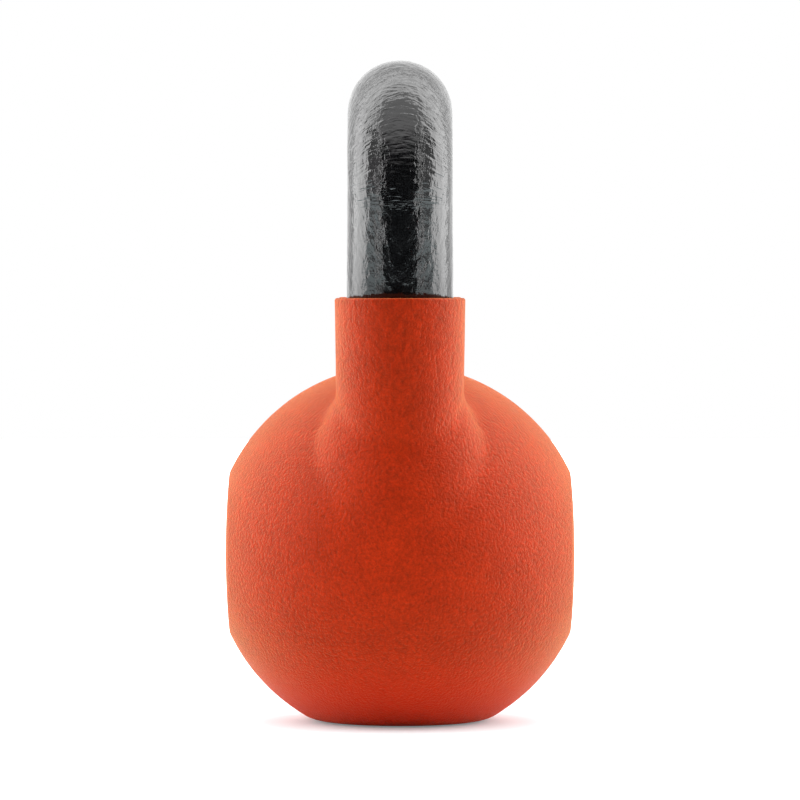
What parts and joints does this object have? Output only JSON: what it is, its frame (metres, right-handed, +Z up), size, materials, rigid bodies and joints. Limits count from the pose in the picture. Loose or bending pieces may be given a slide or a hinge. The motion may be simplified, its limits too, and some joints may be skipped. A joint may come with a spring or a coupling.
{
  "type": "kettlebell",
  "caption": "Kettlebell of cast iron with a domed-sided ball on a flat base, leaning horns, an enamelled grip and a thick soft coat ending in level-cut collars.",
  "frame": {"origin": "centre of the flat base, on the surface it stands on", "axes": "+Z up, X along the handle's bar, +Y and -Y out of the two domed faces"},
  "size_m": [0.148, 0.1142, 0.2144],
  "materials": {
    "cast_iron": "matte",
    "black_enamel": "gloss",
    "orange_coat": "matte"
  },
  "bodies": {
    "root": {"iron_casting": "cast_iron", "handle_enamel": "black_enamel", "neoprene_jacket": "orange_coat"}
  },
  "joints": []
}
